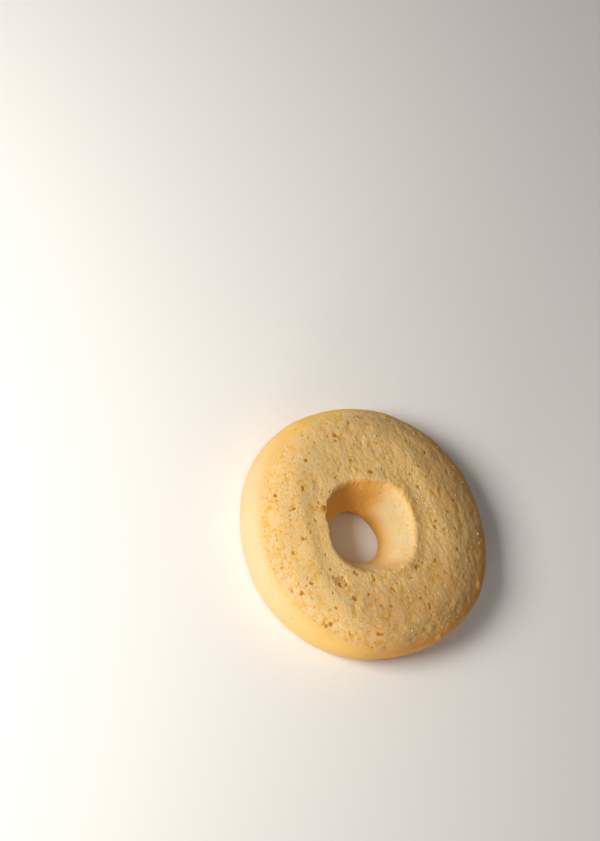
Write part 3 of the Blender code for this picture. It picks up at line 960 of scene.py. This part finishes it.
def crustMaterial():
    # cream and gold crumb on the face, smooth wall with painted light on its lit side, orange-brown where
    # browned and with painted shade on the far side and the hole's shaded sides, in creases and in pits,
    # partly painted shade there
    material = bpy.data.materials.new("bakedCrust")
    tree = Tree(material)
    tones, pattern = crustColours, crustPattern
    face, pit, hollow = tree.attribute("face"), tree.attribute("pit"), tree.attribute("hollow")
    golden, brownedAndShaded, hole = tree.attribute("golden"), tree.attribute("brownedAndShaded"), tree.attribute("hole")
    drawnOut = tree.stretched(relief["crumbLie"], relief["crumbStretch"])

    broadSize, broadBand, broadShare = pattern["broad"]
    lumpSize, lumpBand, lumpShare = pattern["lumps"]
    grainSize, grainBand, grainShare = pattern["grains"]
    hollowBand, hollowShare = pattern["hollow"]
    broad = tree.range(tree.noise(broadSize), *broadBand)
    lumps = tree.range(tree.noise(lumpSize, roughness=0.6, where=drawnOut), *lumpBand)
    grains = tree.noise(grainSize, detail=3.0, roughness=0.6)
    mottle = tree.plus(tree.times(broad, broadShare), tree.times(lumps, lumpShare))
    mottle = tree.plus(mottle, tree.times(tree.range(grains, *grainBand), grainShare))
    mottle = tree.plus(mottle, tree.times(tree.range(hollow, *hollowBand), hollowShare))
    colour = tree.mix(tree.attribute("dappled"), wallPaint(tree, mottle, golden, brownedAndShaded, hole),
                      facePaint(tree, mottle, golden, brownedAndShaded))

    ragged = tree.warped(pattern["spotRagSize"], pattern["spotRagWidth"])
    manySpots = tree.times(tree.spots(*pattern["manySpots"], ragged), golden)
    fewSpots = tree.times(tree.spots(*pattern["fewSpots"], ragged),
                          tree.range(face, 0.0, 1.0, *pattern["fewSpotsShare"]))
    spotShare = tree.math("MAXIMUM", tree.times(manySpots, pattern["manySpotsShare"]), fewSpots)
    colour = tree.mix(spotShare, colour, tones["spot"])

    # painted shade in the creases, over the crumb's browner colour there
    creaseShade = tree.times(tree.range(hollow, *pattern["creaseShade"]), pattern["creaseShadeShare"])
    colour = tree.mix(tree.times(creaseShade, face), colour, tones["creaseShade"])
    # pits and dents darker the deeper: browner dough with painted shade
    colour = tree.mix(tree.times(tree.range(pit, *pattern["pit"]), pattern["pitShare"]), colour, tones["pit"])
    lowEdge = tree.plus(tree.height(), tree.times(broad, -pattern["baseEdgeWave"]))
    edgeShare = tree.times(tree.range(lowEdge, pattern["baseEdgeHeight"], 0.0), pattern["baseEdgeShare"])
    tree.set(tree.shader, "Base Color", tree.mix(edgeShare, colour, tones["baseEdge"]))

    fine = tree.range(tree.noise(pattern["fineSize"], roughness=0.6), *pattern["fineBand"])
    tree.set(tree.shader, "Roughness", tree.range(fine, 0.0, 1.0, *pattern["roughness"]))
    tree.set(tree.shader, "Specular IOR Level", pattern["specular"])
    tree.set(tree.shader, "Subsurface Weight", tree.range(hole, 0.0, 1.0, *pattern["glow"]))
    tree.set(tree.shader, "Subsurface Radius", pattern["glowRadius"])
    tree.set(tree.shader, "Subsurface Scale", pattern["glowDepth"])
    tree.set(tree.shader, "Normal", sandyBump(tree, grains, drawnOut, face, hole))
    return material


def makeRing():
    # the turned ring is pressed out of round, its lip is broken, and the relief is added along its normals
    turned = turnedRing()
    sectionRadius = np.hypot(turned[..., 0], turned[..., 1]).ravel()
    pressed = pressedOutOfRound(turned)
    points = brokenLip(pressed.reshape(-1, 3), sectionRadius).reshape(pressed.shape)
    flatPoints, flatNormals = points.reshape(-1, 3), gridNormals(points).reshape(-1, 3)
    out, shares = bakedRelief(flatPoints, flatNormals, sectionRadius)
    shares.update(browningAndShadeShares(flatPoints, sectionRadius))
    finished = (flatPoints + flatNormals * out[:, None]).reshape(points.shape)
    mesh = gridMesh("bakedRing", finished)
    for name, values in shares.items():
        writeAttribute(mesh, name, values)
    ring = addPiece(mesh, crustMaterial())
    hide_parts("cookie")
    print("ring:", len(mesh.polygons) * 2, "triangles")
    return finished, shares


ringPoints, ringShares = makeRing()


# Small things on the crust, each kind one mesh of blobs. A place is an angle, a distance from the
# centre and a width, in degrees and millimetres. The chance is how likely a thing lies anywhere,
# how much more on the face and how much more in the hole.

sugar = {
    "seed": 41,
    "count": 30,
    "size": (0.05 * mm, 0.11 * mm),
    "places": ((-81, 14.7, 0.36), (-83, 18.4, 0.30), (-80, 18.6, 0.26), (-38, 27.0, 0.24), (-50, 25.5, 0.22)),
    "chance": (0.05, 1.0, 0.0),
    "form": {"grid": (8, 4), "square": 0.45, "flat": 0.8, "rough": 0.0, "sink": 0.25},
    "colour": (0.88, 0.80, 0.62),
    "roughness": 0.35,
    "specular": 0.5,
}

vanilla = {
    "seed": 42,
    "count": 75,
    "size": (0.05 * mm, 0.14 * mm),
    "places": (),
    "chance": (0.35, 0.65, 0.4),
    "form": {"grid": (8, 4), "square": 1.0, "flat": 0.6, "rough": 0.0, "sink": 0.32},
    "colour": (0.11, 0.075, 0.055),
    "roughness": 0.6,
    "specular": 0.3,
}

crumbs = {
    "seed": 43,
    "count": 70,
    "size": (0.12 * mm, 0.28 * mm),
    "places": (),
    "chance": (0.04, 1.0, 0.0),
    "form": {"grid": (10, 6), "square": 1.0, "flat": 0.6, "rough": 0.6, "sink": 0.5},
    "colour": crustColours["cream"],
    "roughness": 0.75,
    "specular": 0.28,
}

goldenBits = {
    "seed": 44,
    "count": 6,
    "size": (0.14 * mm, 0.22 * mm),
    "places": ((-57, 18.2, 0.48), (102, 22.9, 0.42), (113, 21.3, 0.36)),
    "chance": (0.0, 1.0, 0.0),
    "form": {"grid": (9, 5), "square": 1.0, "flat": 0.7, "rough": 0.5, "sink": 0.35},
    "colour": (0.86, 0.36, 0.035),
    "roughness": 0.55,
    "specular": 0.4,
}

# What all the small things share
blobRules = {
    "height": (3.0 * mm, 7.0 * mm),  # none is drawn below the first, and no named place is below the second
    "longer": (0.9, 1.4),            # length, width and height of a blob, each times its size
    "wider": (0.7, 1.0),
    "higher": (0.8, 1.1),
    "bumpTimes": 1.3,                # how many bumps go on half a rough blob's width
    "darkerGrains": 0.72,
    "grainSize": 0.3 * mm,
    "grainBand": (0.35, 0.65),
}


def blobGrid(columns, rings):
    # unit sphere on rings between two poles, (cos v cos u, cos v sin u, sin v), closed with triangles
    lift = np.linspace(-0.5 * math.pi, 0.5 * math.pi, rings + 2)[1:-1, None]
    turn = np.linspace(0.0, math.tau, columns, endpoint=False)[None, :]
    around = (np.cos(lift) * np.cos(turn), np.cos(lift) * np.sin(turn), np.sin(lift))
    body = np.stack(np.broadcast_arrays(*around), axis=-1)
    points = np.vstack((body.reshape(-1, 3), ((0.0, 0.0, -1.0), (0.0, 0.0, 1.0))))
    index = np.arange(rings * columns).reshape(rings, columns)
    beside = np.roll(index, -1, axis=1)
    low, high, lowBeside, highBeside = index[:-1], index[1:], beside[:-1], beside[1:]
    southPole, northPole = rings * columns, rings * columns + 1
    south = np.stack((beside[0], index[0], np.full(columns, southPole)), axis=-1)
    north = np.stack((index[-1], beside[-1], np.full(columns, northPole)), axis=-1)
    sides = [np.stack((low, lowBeside, highBeside), axis=-1), np.stack((low, highBeside, high), axis=-1)]
    return points, np.vstack([part.reshape(-1, 3) for part in sides] + [south, north])


def placesOnCrust(draw, count, weight):
    # grid points of the ring drawn by weight times the area round each, with the normals there
    alongRows = (np.roll(ringPoints, -1, axis=0) - np.roll(ringPoints, 1, axis=0)) / 2.0
    alongTurns = (np.roll(ringPoints, -1, axis=1) - np.roll(ringPoints, 1, axis=1)) / 2.0
    area = np.linalg.norm(np.cross(alongRows, alongTurns), axis=-1).ravel()
    chance = area * weight
    chosen = draw.choice(len(area), size=count, replace=False, p=chance / chance.sum())
    return ringPoints.reshape(-1, 3)[chosen], gridNormals(ringPoints).reshape(-1, 3)[chosen]


def namedPlaces(places):
    # the grid points nearest in plan to given angles and distances from the centre, low ones left out
    points = ringPoints.reshape(-1, 3)
    normals = gridNormals(ringPoints).reshape(-1, 3)
    tooLow = points[:, 2] < blobRules["height"][1]
    chosen = []
    for angle, distance, _ in places:
        turn = math.radians(angle)
        centre = np.array((math.cos(turn), math.sin(turn))) * distance * mm
        away = np.linalg.norm(points[:, :2] - centre, axis=1)
        chosen.append(int(np.argmin(np.where(tooLow, np.inf, away))))
    return points[chosen], normals[chosen]


def scatteredBlobs(name, draw, points, normals, sizes, form):
    # at each point a unit blob, its three axes raised to the power square, roughened by noise,
    # turned by a random angle round the normal, squashed along it and sunk into the crust
    unit, triangles = blobGrid(*form["grid"])
    shape = np.sign(unit) * np.abs(unit) ** form["square"]
    count = len(points)
    copies = np.repeat(shape[None], count, axis=0)
    if form["rough"]:
        offsets = draw.uniform(0.0, noiseCells - 2.0, size=(count, 1, 3))
        places = unit[None] * blobRules["bumpTimes"] + offsets
        bumps = gradientNoise(places.reshape(-1, 3), noiseSeeds["blobs"]).reshape(count, -1, 1)
        copies = copies * (1.0 + form["rough"] * bumps)
    spin = draw.uniform(0.0, math.tau, count)
    helper = np.where(np.abs(normals[:, 2:]) < 0.9, (0.0, 0.0, 1.0), (1.0, 0.0, 0.0))
    first = np.cross(helper, normals)
    first /= np.linalg.norm(first, axis=1, keepdims=True)
    second = np.cross(normals, first)
    sideways = first * np.cos(spin)[:, None] + second * np.sin(spin)[:, None]
    onward = np.cross(normals, sideways)
    length = draw.uniform(*blobRules["longer"], count)
    width = draw.uniform(*blobRules["wider"], count)
    height = form["flat"] * draw.uniform(*blobRules["higher"], count)
    lengths = sizes[:, None] * np.stack((length, width, height), axis=1)
    local = copies * lengths[:, None, :]
    local[..., 2] += (lengths[:, 2] * (1.0 - 2.0 * form["sink"]))[:, None]
    placed = (points[:, None, :] + local[..., :1] * sideways[:, None] + local[..., 1:2] * onward[:, None]
              + local[..., 2:] * normals[:, None])
    faces = (triangles[None] + np.arange(count)[:, None, None] * len(unit)).reshape(-1, 3)
    print(name + ":", len(faces), "triangles")
    return meshFromArrays(name, placed.reshape(-1, 3), faces)


def plainGrainMaterial(name, rules):
    # one colour with slightly darker grains in it, from the rules of its blobs
    material = bpy.data.materials.new(name)
    tree = Tree(material)
    darker = tuple(part * blobRules["darkerGrains"] for part in rules["colour"])
    grains = tree.range(tree.noise(blobRules["grainSize"]), *blobRules["grainBand"])
    tree.set(tree.shader, "Base Color", tree.mix(grains, darker, rules["colour"]))
    tree.set(tree.shader, "Roughness", rules["roughness"])
    tree.set(tree.shader, "Specular IOR Level", rules["specular"])
    return material


def scatterOnCrust(name, rules, materialName):
    # drawn places and sizes first, then the named ones with half of each given width
    draw = np.random.default_rng(rules["seed"])
    high = smoothStep(ringPoints.reshape(-1, 3)[:, 2], *blobRules["height"])
    anywhere, onFace, inHole = rules["chance"]
    weight = high * (anywhere + onFace * ringShares["face"] + inHole * ringShares["hole"])
    points, normals = placesOnCrust(draw, rules["count"], weight)
    sizes = draw.uniform(*rules["size"], rules["count"])
    if rules["places"]:
        extraPoints, extraNormals = namedPlaces(rules["places"])
        points, normals = np.vstack((points, extraPoints)), np.vstack((normals, extraNormals))
        sizes = np.concatenate((sizes, [width * mm / 2.0 for _, _, width in rules["places"]]))
    mesh = scatteredBlobs(name, draw, points, normals, sizes, rules["form"])
    addPiece(mesh, plainGrainMaterial(materialName, rules))


scatterOnCrust("sugarGrains", sugar, "sugarCrystal")
scatterOnCrust("vanillaSpecks", vanilla, "vanillaSeed")
scatterOnCrust("looseCrumbs", crumbs, "crumbCrust")
scatterOnCrust("goldenBits", goldenBits, "goldenBit")


# Floor, light and camera

studio = {
    "floorSize": 3.0,
    "floorColour": (0.90, 0.89, 0.87),
    "floorRoughness": 0.9,
    "floorDrop": 0.02 * mm,          # how far the floor lies below the cookie
    "skyColour": (1.0, 0.955, 0.90),
    "skyStrength": 0.184,
    "keyDirection": -130,            # degrees round the cookie from +X: over the photo's lower left
    "keyElevation": 36,
    "keyDistance": 0.34,
    "keySize": 0.14,
    "keyPower": 1.25,
    "keyColour": (1.0, 0.96, 0.90),
    "fillDirection": -72,            # a weaker, lower light for the near wall
    "fillElevation": 3.0,
    "fillDistance": 0.50,
    "fillSize": 0.20,
    "fillPower": 1.50,
    "fillColour": (1.0, 0.95, 0.88),
}

photoView = {
    "aim": (-29.6 * mm, 4.4 * mm),   # the frame's middle lies beside the cookie
    "aimHeight": 6.2 * mm,
    "elevation": 61.9,
    "roll": 50.7,
    "distance": 319.2 * mm,
    "lens": 58.86,
    "sensorWidth": 36.0,
    "nearestSeen": 10.0 * mm,
}


def makeFloor():
    # a wide square just below the cookie
    half = studio["floorSize"] / 2.0
    corners = np.array(((-half, -half, 0.0), (half, -half, 0.0), (half, half, 0.0), (-half, half, 0.0)))
    corners[:, 2] = ringLow[2] - studio["floorDrop"]
    mesh = meshFromArrays("floor", corners, np.array(((0, 1, 2, 3),)))
    floor = bpy.data.objects.new("floor", mesh)
    bpy.context.scene.collection.objects.link(floor)
    material = bpy.data.materials.new("paleFloor")
    material.use_nodes = True
    shader = material.node_tree.nodes["Principled BSDF"]
    shader.inputs["Base Color"].default_value = (*studio["floorColour"], 1.0)
    shader.inputs["Roughness"].default_value = studio["floorRoughness"]
    mesh.materials.append(material)


def directionTo(azimuth, elevation):
    # unit vector from the cookie towards a light
    turn, lift = math.radians(azimuth), math.radians(elevation)
    return Vector((math.cos(turn) * math.cos(lift), math.sin(turn) * math.cos(lift), math.sin(lift)))


def makeSoftBox(name, kind):
    # a square area light that looks at the cookie, from the sizes under one word in studio
    towards = directionTo(studio[kind + "Direction"], studio[kind + "Elevation"])
    light = bpy.data.lights.new(name, "AREA")
    light.shape = "SQUARE"
    light.size = studio[kind + "Size"]
    light.energy = studio[kind + "Power"]
    light.color = studio[kind + "Colour"]
    softBox = bpy.data.objects.new(name, light)
    softBox.location = towards * studio[kind + "Distance"]
    softBox.rotation_euler = towards.to_track_quat("Z", "Y").to_euler()
    bpy.context.scene.collection.objects.link(softBox)


def makeLights():
    # a soft light from the side, a low one for the wall, and an even sky
    makeSoftBox("windowLight", "key")
    makeSoftBox("wallLight", "fill")
    world = bpy.data.worlds.new("softSky")
    world.use_nodes = True
    background = world.node_tree.nodes["Background"]
    background.inputs["Color"].default_value = (*studio["skyColour"], 1.0)
    background.inputs["Strength"].default_value = studio["skyStrength"]
    bpy.context.scene.world = world


def makeCamera():
    # the camera looks from the near side at a point beside the cookie, and is rolled round that line
    view = photoView
    lift, roll = math.radians(view["elevation"]), math.radians(view["roll"])
    back = Vector((0.0, -math.cos(lift), math.sin(lift)))
    level = Vector((1.0, 0.0, 0.0))
    upright = back.cross(level)
    right = level * math.cos(roll) + upright * math.sin(roll)
    up = back.cross(right)
    camera = bpy.data.objects.new("camera", bpy.data.cameras.new("camera"))
    camera.data.lens = view["lens"]
    camera.data.sensor_width = view["sensorWidth"]
    camera.data.clip_start = view["nearestSeen"]
    aim = Vector((*view["aim"], view["aimHeight"]))
    turn = Matrix((right, up, back)).transposed().to_4x4()
    camera.matrix_world = Matrix.Translation(aim + back * view["distance"]) @ turn
    bpy.context.scene.collection.objects.link(camera)
    bpy.context.scene.camera = camera


makeFloor()
makeLights()
makeCamera()
bpy.context.scene.view_settings.view_transform = "Standard"
print("floor, light and camera are in place")
